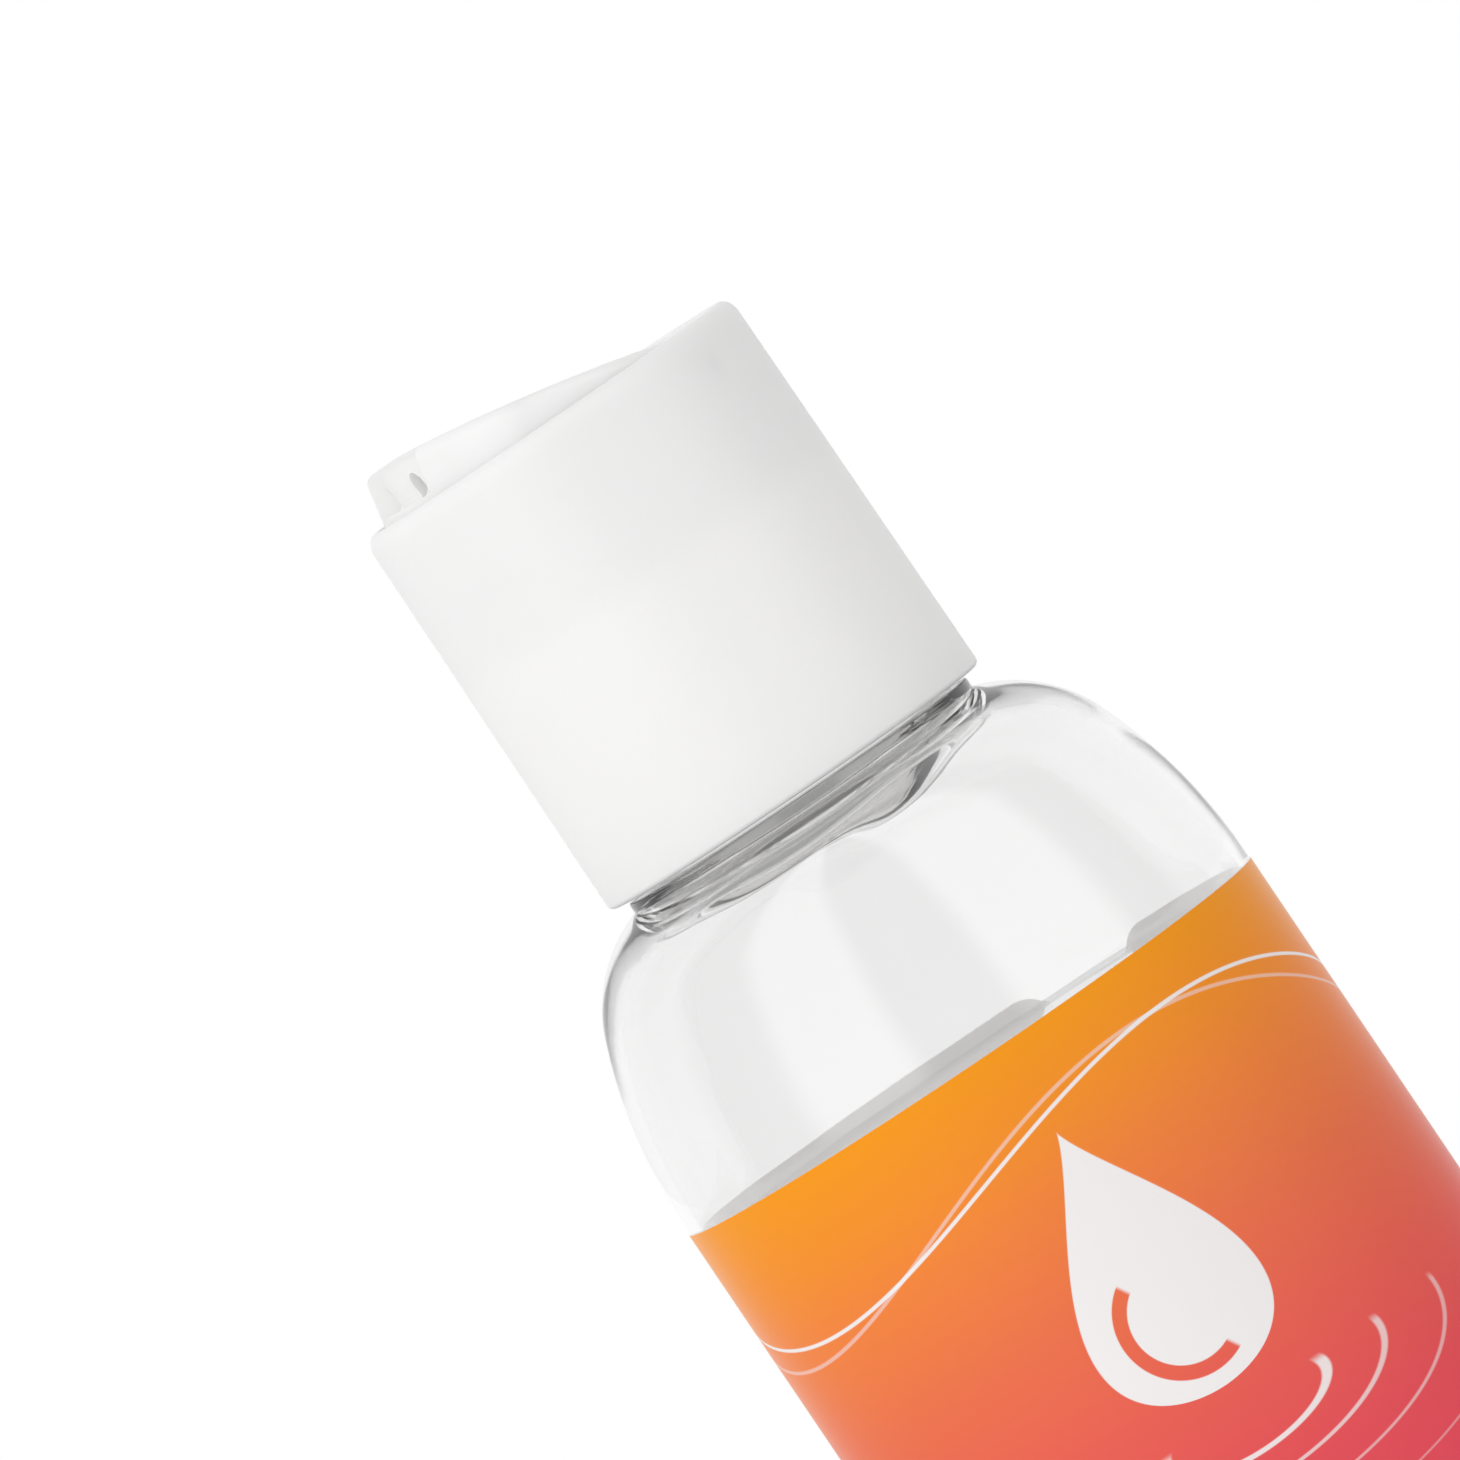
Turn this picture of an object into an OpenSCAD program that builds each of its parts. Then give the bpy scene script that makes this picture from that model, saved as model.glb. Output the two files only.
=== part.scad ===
// Squeeze bottle of clear gel with a threaded disc top cap, shown with its disc tipped open

/* [Bottle body] */
// Outside diameter of the straight body
body_d = 44.5; // [42:0.5:52]
// Height at which the straight body ends and the shoulder begins
body_top = 107.6; // [90:0.2:140]
// Wall thickness of the body
wall = 0.8; // [0.6:0.1:1.2]
// Radius of the heel between body and foot
heel_r = 5; // [3:0.5:7]
// Width of the flat ring that the bottle stands on
stand_w = 2.5; // [1.5:0.5:4]
// Height of the domed push-up in the base
push_up = 3.2; // [2:0.2:5]
// Thickness of the base at its middle
base_wall = 1.3; // [1:0.1:2]

/* [Shoulder] */
// Radius of the lower shoulder arc
shoulder_r = 35; // [30:1:42]
// Turn of the lower shoulder arc, in degrees
shoulder_turn = 22; // [18:1:25]
// Slope at which the shoulder meets the support ring, in degrees
shoulder_end = 72; // [66:1:76]
// Wall thickness of the shoulder where it meets the neck
shoulder_wall = 1.4; // [1:0.1:1.6]

/* [Neck finish] */
// Diameter at the root of the neck thread
neck_d = 21.5; // [21:0.1:21.9]
// Bore of the neck
bore_d = 18; // [16.5:0.1:18.4]
// Height of the finish above its support ring
neck_h = 16.25; // [15.5:0.05:17.5]
// Diameter of the support ring under the cap
ring_d = 26.8; // [26.2:0.1:27.6]
// Height of the support ring
ring_t = 0.76; // [0.6:0.02:1.2]
// Height of the thread above its root
thread_depth = 1.1; // [0.9:0.05:1.2]
// Axial step of one turn of the thread
pitch = 3.175; // [3:0.025:3.4]
// Turns of thread on the neck
turns = 1.5; // [1:0.25:1.75]
// Width of the neck thread at its root
thread_w = 1.5; // [1.3:0.05:1.6]
// Width of a thread at its crest
crest_w = 0.7; // [0.5:0.05:0.9]
// Distance from the lip down to the middle of the top turn
thread_drop = 2.2; // [2:0.1:3]

/* [Cap shell] */
// Outside diameter of the cap at its lower edge
cap_d = 29.3; // [29.2:0.1:31]
// Amount by which the cap is narrower at its rim
cap_taper = 0.36; // [0:0.02:0.4]
// Wall thickness of the outer skirt
cap_wall = 0.85; // [0.7:0.05:0.95]
// Wall thickness of the threaded inner skirt
inner_wall = 0.85; // [0.7:0.05:0.95]
// Gap between the support ring and the lower edge of the cap
cap_lift = 0.25; // [0.2:0.05:0.5]
// Thickness of the deck over the neck
deck_t = 1; // [0.8:0.1:1.4]
// Depth of the well above the deck
well_depth = 11.2; // [10.8:0.1:13]
// Diameter of the well that the disc sits in
well_d = 26.9; // [26.7:0.05:27]
// Corner radius of the rim
rim_r = 0.9; // [0.5:0.05:0.9]
// Radius of the lower outside edge
foot_r = 0.4; // [0.2:0.05:0.6]
// Radial clearance between the cap's inner skirt and the neck thread
thread_gap = 0.25; // [0.2:0.05:0.35]
// Width of the cap thread at its root
cap_thread_w = 1.3; // [1.1:0.05:1.4]
// Axial clearance between the two threads
flank_gap = 0.06; // [0.04:0.01:0.1]
// Number of webs between the two skirts
webs = 12; // [6:1:18]
// Thickness of each web
web_t = 0.7; // [0.5:0.1:1]
// Outside diameter of the outlet spout on the deck
spout_d = 4.6; // [4.2:0.1:4.8]
// Bore of the outlet spout
spout_bore = 2.7; // [2.4:0.1:2.8]
// Depth of the spout's tip below the rim
spout_down = 5; // [4.8:0.1:5.4]
// Height of the stop ledges in the well
ledge_t = 1; // [0.8:0.1:1.4]
// Width of the stop ledges
ledge_w = 1; // [0.8:0.1:1.2]
// Arc of each stop ledge, in degrees
ledge_arc = 80; // [50:5:90]

/* [Tilting disc] */
// Diameter of the disc
disc_d = 26.1; // [25.9:0.05:26.2]
// Height of the disc's crown above the rim when it is shut
crown = 0.3; // [0.2:0.1:0.8]
// Radius of the disc's domed top
dome_r = 140; // [100:5:160]
// Radius of the disc's top edge
edge_r = 0.7; // [0.5:0.05:0.8]
// Thickness of the disc's top plate
plate_t = 0.9; // [0.7:0.05:1]
// Thickness of the disc's skirt
skirt_t = 0.9; // [0.8:0.05:1.1]
// Depth of the skirt below the rim
skirt_down = 6; // [5.6:0.1:6.1]
// Distance of the pivot behind the middle of the cap
pivot_back = 6; // [5.6:0.1:6.6]
// Depth of the pivot below the rim
pivot_down = 3; // [2.8:0.1:3.2]
// Diameter of the pivot pins
pin_d = 1.8; // [1.4:0.1:2]
// Length of a pivot pin outside the skirt
pin_out = 0.85; // [0.7:0.05:0.95]
// Clearance of the pins in their sockets
pin_gap = 0.1; // [0.08:0.01:0.15]
// Angle of the open disc, in degrees
tilt = 12; // [9:0.5:12.5]
// Direction of the nozzle, turned towards the front, in degrees
nozzle_turn = 22; // [0:1:60]

/* [Nozzle] */
// Width of the flat nozzle face in the disc's edge
face_w = 9.8; // [7:0.2:11]
// Depth of the face's upper edge below the rim
face_top = 0.95; // [0.9:0.05:1.2]
// Depth of the ledge under the face
face_low = 3.3; // [3.2:0.05:3.6]
// Depth of the face's two ends under the disc's edge
face_deep = 0.35; // [0.2:0.05:0.5]
// Lean of the face, deeper towards its ledge, in degrees
face_lean = 14; // [6:1:18]
// Diameter of the mouth and its channel
mouth_d = 1.9; // [1.5:0.1:2]
// Wall thickness of the channel
channel_wall = 0.9; // [0.7:0.1:1.1]
// Inside diameter of the sleeve round the spout
sleeve_d = 7; // [6.8:0.1:7.4]
// Wall thickness of the sleeve
sleeve_wall = 0.8; // [0.7:0.1:1]
// Depth of the sleeve below the rim
sleeve_down = 7.2; // [6.8:0.1:7.4]
// Diameter of the shut-off plug
plug_d = 2.44; // [2.1:0.02:2.5]
// Depth of the plug's tip below the rim
plug_down = 5.8; // [5.5:0.1:6]
// Thickness of the ribs under the plate
rib_t = 0.8; // [0.6:0.1:1]
// Depth of the ribs under the plate
rib_deep = 2; // [1:0.1:2.4]

/* [Seal, contents and label] */
// Diameter of the sealing washer
seal_d = 22.4; // [21:0.1:23]
// Thickness of the sealing washer
seal_t = 1; // [0.8:0.1:1.4]
// Diameter of the flow hole in the washer
seal_hole = 5; // [4:0.5:9]
// Gap on each face of the washer
seal_gap = 0.05; // [0.03:0.01:0.1]
// Least gap between the washer's edge and its seat in the cap
seal_side = 0.2; // [0.1:0.05:0.4]
// Height of the gel's surface
gel_level = 106.2; // [60:0.2:107.6]
// Gap between the gel and the wall
gel_gap = 0.05; // [0.02:0.01:0.1]
// Lower edge of the label
label_low = 9; // [8:0.5:30]
// Upper edge of the label
label_high = 107; // [70:0.5:107.5]
// Thickness of the label
label_t = 0.1; // [0.05:0.01:0.2]
// Adhesive gap under the label
label_gap = 0.02; // [0.01:0.01:0.05]
// Open strip between the label's ends, in degrees
label_open = 17.5; // [5:0.5:90]
// Direction of the middle of the open strip, in degrees
label_seam = 64.75; // [0:0.25:360]

/* [Hidden] */
$fn = 96;
bury = 0.3;
steps = 36;
body_r = body_d / 2;
ring_r = ring_d / 2;
neck_r = neck_d / 2;
bore_r = bore_d / 2;
stand_r = body_r - heel_r - stand_w;
thread_r = neck_r + thread_depth;
low_x = body_r - shoulder_r * (1 - cos(shoulder_turn));
low_z = body_top + shoulder_r * sin(shoulder_turn);
bend_r = (low_x - ring_r) / (cos(shoulder_turn) - cos(shoulder_end));
bend_x = low_x - bend_r * cos(shoulder_turn);
bend_z = low_z - bend_r * sin(shoulder_turn);
ring_low = bend_z + bend_r * sin(shoulder_end);
ring_top = ring_low + ring_t;
lip_z = ring_top + neck_h;
throat_at = 85;
throat_in_x = bend_x + (bend_r - shoulder_wall) * cos(throat_at);
throat_in_z = bend_z + (bend_r - shoulder_wall) * sin(throat_at);
throat_r = throat_in_x - bore_r;
top_thread_z = lip_z - thread_drop;
first_thread_z = top_thread_z - pitch * turns;
cap_z = ring_top + cap_lift;
deck_low = lip_z - cap_z + seal_t + 2 * seal_gap;
deck_top = deck_low + deck_t;
cap_h = deck_top + well_depth;
cap_r = cap_d / 2;
rim_out = cap_r - cap_taper / 2;
well_r = well_d / 2;
inner_r = thread_r + thread_gap;
seat_r = max(inner_r, seal_d / 2 + seal_side);
seat_low = deck_low - seal_t - 2 * seal_gap;
cap_thread_drop = (thread_w + cap_thread_w + 2 * crest_w) / 4 + flank_gap;
cap_crest_r = neck_r + 0.4;
disc_r = disc_d / 2;
edge_z = crown - (disc_r - edge_r) * (disc_r - edge_r) / (2 * dome_r);
face_r = sqrt(disc_r * disc_r - face_w * face_w / 4) - face_deep;
mouth_z = -(face_top + face_low) / 2;
inside_plate = (edge_z + crown - 2 * plate_t) / 4;
pin_y = sqrt(disc_r * disc_r - pivot_back * pivot_back);
rear_reach = disc_r - pivot_back;
rear_drop = rear_reach * sin(tilt) + (skirt_down - pivot_down) * cos(tilt) + pivot_down;
stop_gap = 0.25;

function arc(x, z, r, a, b, n) =
    [for (i = [0 : n]) let (t = a + (b - a) * i / n) [x + r * cos(t), z + r * sin(t)]];

function shell_arc(x, z, r, a, b, wa, wb, n) =
    [for (i = [0 : n]) let (t = a + (b - a) * i / n, w = wa + (wb - wa) * i / n)
        [x + (r - w) * cos(t), z + (r - w) * sin(t)]];

function reversed(list) = [for (i = [len(list) - 1 : -1 : 0]) list[i]];

function dome_arc(r, low, high, n) =
    let (rise = high - low, big = (r * r + rise * rise) / (2 * rise), end = asin(r / big))
    [for (i = [0 : n]) let (t = end * i / n) [big * sin(t), high - big * (1 - cos(t))]];

function foot_inside(gap) = concat(
    dome_arc(stand_r, wall + gap, push_up + base_wall + gap, 7),
    arc(body_r - heel_r, heel_r, heel_r - wall - gap, -90, 0, 6)
);

// Section of the blown bottle, from the base round the outside and back down the inside
module bottle_section() {
    wall_at_bend = wall + (shoulder_wall - wall) * 0.35;
    outside = concat(
        dome_arc(stand_r, 0, push_up, 7),
        arc(body_r - heel_r, heel_r, heel_r, -90, 0, 6),
        arc(body_r - shoulder_r, body_top, shoulder_r, 0, shoulder_turn, 5),
        arc(bend_x, bend_z, bend_r, shoulder_turn + 5, shoulder_end, 9),
        [[ring_r, ring_top], [neck_r, ring_top]],
        [[neck_r, lip_z - 0.4], [neck_r - 0.4, lip_z], [bore_r + 0.3, lip_z], [bore_r, lip_z - 0.3]]
    );
    shoulder_in = concat(
        shell_arc(body_r - shoulder_r, body_top, shoulder_r, 0, shoulder_turn, wall, wall_at_bend, 5),
        shell_arc(bend_x, bend_z, bend_r, shoulder_turn + 5, throat_at, wall_at_bend, shoulder_wall, 9)
    );
    throat = arc(bore_r + throat_r, throat_in_z + throat_r, throat_r, 180, 262, 5);
    polygon(concat(outside, throat, reversed(shoulder_in), reversed(foot_inside(0))));
}

// Helical thread of tapering ends, standing out from or into a wall
module thread(root_r, crest_r, root_w, start_z, sweep, sink) {
    count = ceil(steps * sweep / 360);
    fade = 35;
    rings = [for (i = [0 : count])
        let (
            a = sweep * i / count,
            k = min(1, a / fade, (sweep - a) / fade),
            tip = root_r + (crest_r - root_r) * (k * 1.08 - 0.08),
            z = start_z + pitch * a / 360,
            hw = root_w / 2 + 0.05,
            cw = crest_w / 2
        )
        [
            [sink * cos(a), sink * sin(a), z - hw],
            [tip * cos(a), tip * sin(a), z - cw],
            [tip * cos(a), tip * sin(a), z + cw],
            [sink * cos(a), sink * sin(a), z + hw]
        ]
    ];
    points = [for (ring = rings, p = ring) p];
    outward = crest_r > root_r;
    sides = [for (i = [0 : count - 1], j = [0 : 3])
        let (a = 4 * i + j, b = 4 * i + (j + 1) % 4, c = a + 4, d = b + 4)
        each [[a, c, b], [b, c, d]]
    ];
    last = 4 * count;
    ends = [[0, 1, 2], [0, 2, 3], [last, last + 2, last + 1], [last, last + 3, last + 2]];
    faces = concat(sides, ends);
    polyhedron(points, [for (f = faces) outward ? [f[0], f[2], f[1]] : f]);
}

module bottle() {
    color([0.86, 0.9, 0.93, 0.35]) {
        rotate_extrude() bottle_section();
        thread(neck_r, thread_r, thread_w, first_thread_z, 360 * turns, neck_r - bury);
    }
}

module gel() {
    color([0.93, 0.94, 0.95, 0.6])
        rotate_extrude()
            polygon(concat(foot_inside(gel_gap), [[body_r - wall - gel_gap, gel_level], [0, gel_level]]));
}

module label() {
    color([0.93, 0.44, 0.32])
        rotate([0, 0, label_seam + label_open / 2])
            rotate_extrude(angle = 360 - label_open)
                translate([body_r + label_gap, label_low])
                    square([label_t, label_high - label_low]);
}

// Section of the cap shell: outer skirt, rim, well, deck and threaded inner skirt
module cap_section() {
    inner_low = 0.6;
    inner_out = inner_r + inner_wall;
    outer_in = cap_r - cap_taper / 2 - cap_wall;
    outline = concat(
        [[outer_in + 0.15, 0]],
        arc(cap_r - foot_r, foot_r, foot_r, -90, 0, 4),
        arc(rim_out - rim_r, cap_h - rim_r, rim_r, 0, 90, 6),
        [[well_r + 0.12, cap_h], [well_r, cap_h - 0.12]],
        [[well_r, deck_top], [0, deck_top], [0, deck_low]],
        [[seat_r, deck_low], [seat_r, seat_low], [inner_r, seat_low - 0.4]],
        [[inner_r, inner_low + 0.5], [inner_r + 0.4, inner_low], [inner_out, inner_low]],
        [[inner_out, deck_low], [outer_in, deck_low], [outer_in, 0.15]]
    );
    polygon(outline);
}

// Ring sector that stops the disc, from its own top edge down
module ledge(top) {
    translate([0, 0, top - ledge_t])
        rotate_extrude(angle = ledge_arc)
            polygon([
                [well_r - ledge_w, 0.4], [well_r - ledge_w, ledge_t],
                [well_r + bury, ledge_t], [well_r + bury, -ledge_w + 0.4]
            ]);
}

module in_cap_place() {
    translate([0, 0, cap_z])
        rotate([0, 0, nozzle_turn])
            children();
}

module cap_shell() {
    color([0.95, 0.95, 0.94]) in_cap_place() {
        difference() {
            union() {
                rotate_extrude() cap_section();
                translate([0, 0, deck_top - bury]) {
                    cylinder(d = spout_d, h = well_depth - spout_down + bury);
                    cylinder(d1 = spout_d + 2.4, d2 = spout_d, h = 1.2 + bury);
                }
                for (i = [0 : webs - 1])
                    rotate([0, 0, 360 * (i + 0.5) / webs])
                        translate([inner_r + inner_wall - 0.2, -web_t / 2, 2])
                            cube([rim_out - cap_wall - inner_r - inner_wall + 0.4, web_t, deck_low - 1.8]);
                rotate([0, 0, 180 - ledge_arc / 2]) ledge(cap_h - skirt_down - stop_gap);
                rotate([0, 0, -ledge_arc / 2]) ledge(cap_h - rear_drop - stop_gap);
            }
            translate([0, 0, deck_low - 1]) cylinder(d = spout_bore, h = well_depth + deck_t);
            translate([pivot_back, 0, cap_h - pivot_down])
                rotate([90, 0, 0])
                    cylinder(d = pin_d + 2 * pin_gap, h = 2 * (pin_y + pin_out + pin_gap), center = true);
        }
        rotate([0, 0, -nozzle_turn])
            thread(inner_r, cap_crest_r, cap_thread_w, first_thread_z - cap_z - cap_thread_drop,
                360 * turns, inner_r + bury);
    }
}

// Section of the disc's plate and skirt, with the rim at height zero
module disc_section() {
    top = [for (i = [0 : 6]) let (x = (disc_r - edge_r) * i / 6) [x, crown - x * x / (2 * dome_r)]];
    polygon(concat(
        top,
        arc(disc_r - edge_r, edge_z - edge_r, edge_r, 75, 0, 4),
        [[disc_r, -skirt_down + 0.2], [disc_r - 0.2, -skirt_down], [disc_r - skirt_t, -skirt_down]],
        [[disc_r - skirt_t, edge_z - plate_t], [0, crown - plate_t]]
    ));
}

module disc_shut() {
    channel_d = mouth_d + 2 * channel_wall;
    channel_len = disc_r - skirt_t / 2;
    difference() {
        union() {
            rotate_extrude() disc_section();
            difference() {
                translate([0, 0, -sleeve_down])
                    cylinder(d = sleeve_d + 2 * sleeve_wall, h = sleeve_down + inside_plate);
                translate([0, 0, -sleeve_down - 1])
                    cylinder(d = sleeve_d, h = sleeve_down + 1 - plate_t + crown / 2);
            }
            translate([-channel_len, -channel_d / 2, mouth_z - channel_d / 2])
                cube([channel_len - sleeve_d / 2, channel_d, channel_d / 2 - mouth_z + inside_plate]);
            intersection() {
                translate([-disc_r, -face_w / 2 - 0.6, -face_low - 1.2])
                    cube([disc_r - face_r + 2.4, face_w + 1.2, face_low + 1.2 + inside_plate]);
                translate([0, 0, -face_low - 2])
                    cylinder(r = disc_r - skirt_t / 2, h = face_low + 3);
            }
            for (a = [60, 120, 240, 300, 0])
                rotate([0, 0, a])
                    translate([sleeve_d / 2 + 0.2, -rib_t / 2, -plate_t - rib_deep])
                        cube([disc_r - skirt_t / 2 - sleeve_d / 2 - 0.2, rib_t, rib_deep + plate_t + inside_plate]);
            translate([0, 0, -plug_down + 0.8])
                cylinder(d = plug_d, h = plug_down - 0.8 + inside_plate);
            translate([0, 0, -plug_down])
                cylinder(d1 = plug_d - 0.86, d2 = plug_d, h = 0.8);
            for (s = [-1, 1])
                translate([pivot_back, s * (pin_y + pin_out / 2 - skirt_t / 4), -pivot_down])
                    rotate([90, 0, 0])
                        cylinder(d = pin_d, h = pin_out + skirt_t / 2, center = true);
        }
        translate([-face_r, 0, -face_top])
            rotate([0, -face_lean, 0])
                translate([-3, -face_w / 2, -(face_low - face_top) / cos(face_lean)])
                    cube([3, face_w, (face_low - face_top) / cos(face_lean)]);
        translate([-disc_r - 1, 0, mouth_z])
            rotate([0, 90, 0])
                cylinder(d = mouth_d, h = disc_r + 1 - plug_d / 2 - 0.3);
    }
}

module disc() {
    color([0.97, 0.97, 0.96]) in_cap_place()
        translate([pivot_back, 0, cap_h - pivot_down])
            rotate([0, tilt, 0])
                translate([-pivot_back, 0, pivot_down])
                    disc_shut();
}

module liner() {
    color([0.9, 0.9, 0.86])
        translate([0, 0, lip_z + seal_gap])
            difference() {
                cylinder(d = seal_d, h = seal_t);
                translate([0, 0, -1]) cylinder(d = seal_hole, h = seal_t + 2);
            }
}

bottle();
gel();
label();
cap_shell();
disc();
liner();
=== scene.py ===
"""A clear squeeze bottle of gel with a printed wrap label, a white screw cap and a tilting disc.

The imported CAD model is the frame: every piece is modelled in millimetres in the CAD's own place and scaled to metres.
"""

import logging
import math
from abc import ABC, abstractmethod
from dataclasses import dataclass, field
from enum import Enum
from typing import Any, Callable

import bmesh
import bpy
from bmesh.types import BMesh, BMFace, BMVert
from bpy.types import Material, Mesh, Object
from mathutils import Matrix, Vector

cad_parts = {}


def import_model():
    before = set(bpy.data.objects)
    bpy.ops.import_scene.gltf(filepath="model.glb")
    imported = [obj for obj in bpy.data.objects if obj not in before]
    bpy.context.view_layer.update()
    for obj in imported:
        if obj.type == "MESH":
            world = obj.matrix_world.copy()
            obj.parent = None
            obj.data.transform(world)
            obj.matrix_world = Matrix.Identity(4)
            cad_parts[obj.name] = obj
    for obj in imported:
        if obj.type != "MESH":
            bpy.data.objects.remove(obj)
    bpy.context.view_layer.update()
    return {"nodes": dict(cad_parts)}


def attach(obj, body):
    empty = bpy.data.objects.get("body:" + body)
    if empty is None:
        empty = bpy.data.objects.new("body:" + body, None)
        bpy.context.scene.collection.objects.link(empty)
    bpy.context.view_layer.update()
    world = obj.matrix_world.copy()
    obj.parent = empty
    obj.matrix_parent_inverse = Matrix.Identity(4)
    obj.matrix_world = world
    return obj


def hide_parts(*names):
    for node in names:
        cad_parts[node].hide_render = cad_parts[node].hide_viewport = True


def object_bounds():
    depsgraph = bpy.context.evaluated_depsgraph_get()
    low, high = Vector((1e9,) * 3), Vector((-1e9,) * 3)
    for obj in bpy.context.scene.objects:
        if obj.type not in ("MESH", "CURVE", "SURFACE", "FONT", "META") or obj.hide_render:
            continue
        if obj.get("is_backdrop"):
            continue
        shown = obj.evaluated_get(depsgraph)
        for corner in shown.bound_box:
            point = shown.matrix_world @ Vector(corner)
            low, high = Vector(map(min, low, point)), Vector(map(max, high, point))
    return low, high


LOG = logging.getLogger("squeeze_bottle")
MM = 0.001
SPOKES = 192

Socket = bpy.types.NodeSocket
Value = float | tuple[float, ...] | Socket
Inputs = dict[str | int, Value]
Triple = tuple[float, float, float]


class Join(Enum):
    """How a second solid meets the first one."""

    CUT = "DIFFERENCE"
    ADD = "UNION"
    SHARE = "INTERSECT"


class Body(Enum):
    """The CAD's moving bodies."""

    BOTTLE = "bottle"
    CAP = "cap"
    DISC = "disc"


# ---------------------------------------------------------------- modelling


class Section:
    """A closed outline in the XZ plane, in millimetres, walked corner by corner and then turned or pulled."""

    def __init__(self) -> None:
        """Starts with no corner."""
        self.bm: BMesh = bmesh.new()
        self.path: list[BMVert] = []
        self.soft: list[tuple[BMVert, float, int]] = []

    def to(self, x: float, z: float, soft: float = 0.0, steps: int = 4) -> "Section":
        """Goes straight on to a corner.

        Args:
            x: Distance from the axis.
            z: Height.
            soft: Radius that rounds the corner, 0 for a sharp one.
            steps: Segments of that rounding.

        Returns:
            The section itself.
        """
        self.path.append(self.bm.verts.new((x, 0.0, z)))
        if soft:
            self.soft.append((self.path[-1], soft, steps))
        return self

    def arc(self, x: float, z: float, sweep: float, steps: int) -> "Section":
        """Goes on from the last corner along an arc.

        Args:
            x: Centre's distance from the axis.
            z: Centre's height.
            sweep: Turn in degrees, counter-clockwise when X points right and Z up.
            steps: Segments of the arc.

        Returns:
            The section itself.
        """
        held = set(self.bm.verts)
        self._spin([self.path[-1]], -math.radians(sweep), steps, centre=(x, 0, z), axis=(0, 1, 0))
        self.path += [v for v in self.bm.verts if v not in held]
        return self

    def face(self) -> BMFace:
        """Closes the outline and rounds its soft corners.

        Returns:
            The outline's face.
        """
        face = self.bm.faces.new(self.path)
        for vert, radius, steps in self.soft:
            one, two = (edge.other_vert(vert).co - vert.co for edge in vert.link_edges)
            bmesh.ops.bevel(
                self.bm,
                geom=[vert],
                offset=radius / math.tan(one.angle(two) / 2),
                offset_type="OFFSET",
                affect="VERTICES",
                segments=steps,
                profile=0.5,
                material=-1,
                clamp_overlap=True,
            )
        return next(iter(self.bm.faces))

    def turned(self, steps: int = SPOKES) -> BMesh:
        """Turns the outline all the way round the Z axis.

        Args:
            steps: Segments of the whole turn.

        Returns:
            The closed shell.
        """
        bmesh.ops.delete(self.bm, geom=[self.face()], context="FACES_ONLY")
        on_axis = [e for e in self.bm.edges if all(abs(v.co.x) < 1e-5 for v in e.verts)]
        bmesh.ops.delete(self.bm, geom=on_axis, context="EDGES")
        self._spin(list(self.bm.verts) + list(self.bm.edges), math.tau, steps, merge=True)
        return tidy(self.bm)

    def swept(self, sweep: float, steps: int, rise: float = 0.0) -> BMesh:
        """Turns the outline part of the way round the Z axis, or along a helix.

        Args:
            sweep: Turn in degrees, which may be over 360 on a helix.
            steps: Segments of the turn.
            rise: Height gained over the whole sweep.

        Returns:
            The closed solid, with both its ends.
        """
        self.face()
        geom = list(self.bm.verts) + list(self.bm.edges) + list(self.bm.faces)
        self._spin(geom, math.radians(sweep), steps, rise / steps)
        return self.bm

    def pulled(self, low: float, high: float) -> BMesh:
        """Pulls the outline straight along Y.

        Args:
            low: Where it begins.
            high: Where it ends.

        Returns:
            The closed solid.
        """
        made = bmesh.ops.extrude_face_region(self.bm, geom=[self.face()])["geom"]
        for vert in self.bm.verts:
            vert.co.y = low
        for vert in (v for v in made if isinstance(v, BMVert)):
            vert.co.y = high
        return tidy(self.bm)

    def _spin(
        self,
        geom: list[Any],
        angle: float,
        steps: int,
        rise: float = 0.0,
        merge: bool = False,
        centre: Triple = (0, 0, 0),
        axis: Triple = (0, 0, 1),
    ) -> None:
        """Spins geom by an angle in radians about an axis, which is Z unless one is given, rising by rise a step."""
        bmesh.ops.spin(
            self.bm,
            geom=geom,
            cent=centre,
            axis=axis,
            dvec=(0, 0, rise),
            angle=angle,
            steps=steps,
            use_merge=merge,
            use_duplicate=False,
        )


def tidy(bm: BMesh) -> BMesh:
    """Merges doubles, drops slivers of no area and turns the faces outwards.

    Args:
        bm: The mesh, in millimetres.

    Returns:
        The same mesh.
    """
    bmesh.ops.remove_doubles(bm, verts=bm.verts, dist=1e-4)
    bmesh.ops.dissolve_degenerate(bm, dist=1e-5, edges=bm.edges)
    bmesh.ops.recalc_face_normals(bm, faces=bm.faces)
    return bm


def helix(corners: list[tuple[float, float]], root: float, pitch: float, turns: float, fade: float) -> BMesh:
    """A thread whose height fades in and out at its two ends.

    Args:
        corners: Section at the start, as (radius, height).
        root: Radius that the fading ends sink to.
        pitch: Rise of one turn.
        turns: Number of turns.
        fade: Turn in degrees over which each end fades.

    Returns:
        The closed thread.
    """
    section = Section()
    for radius, height in corners:
        section.to(radius, height)
    steps = int(turns * 120)
    bm = section.swept(360 * turns, steps, pitch * turns)
    bm.verts.ensure_lookup_table()
    for index, vert in enumerate(bm.verts):
        at = 360 * turns * (index // len(corners)) / steps
        share = min(1.0, at / fade, (360 * turns - at) / fade)
        reach = math.hypot(vert.co.x, vert.co.y)
        if (corners[0][0] - root) * (reach - root) < 0:
            wanted = root + (reach - root) * (share * 1.08 - 0.08)
            vert.co.xy = vert.co.xy * (wanted / reach)
    return tidy(bm)


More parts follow.
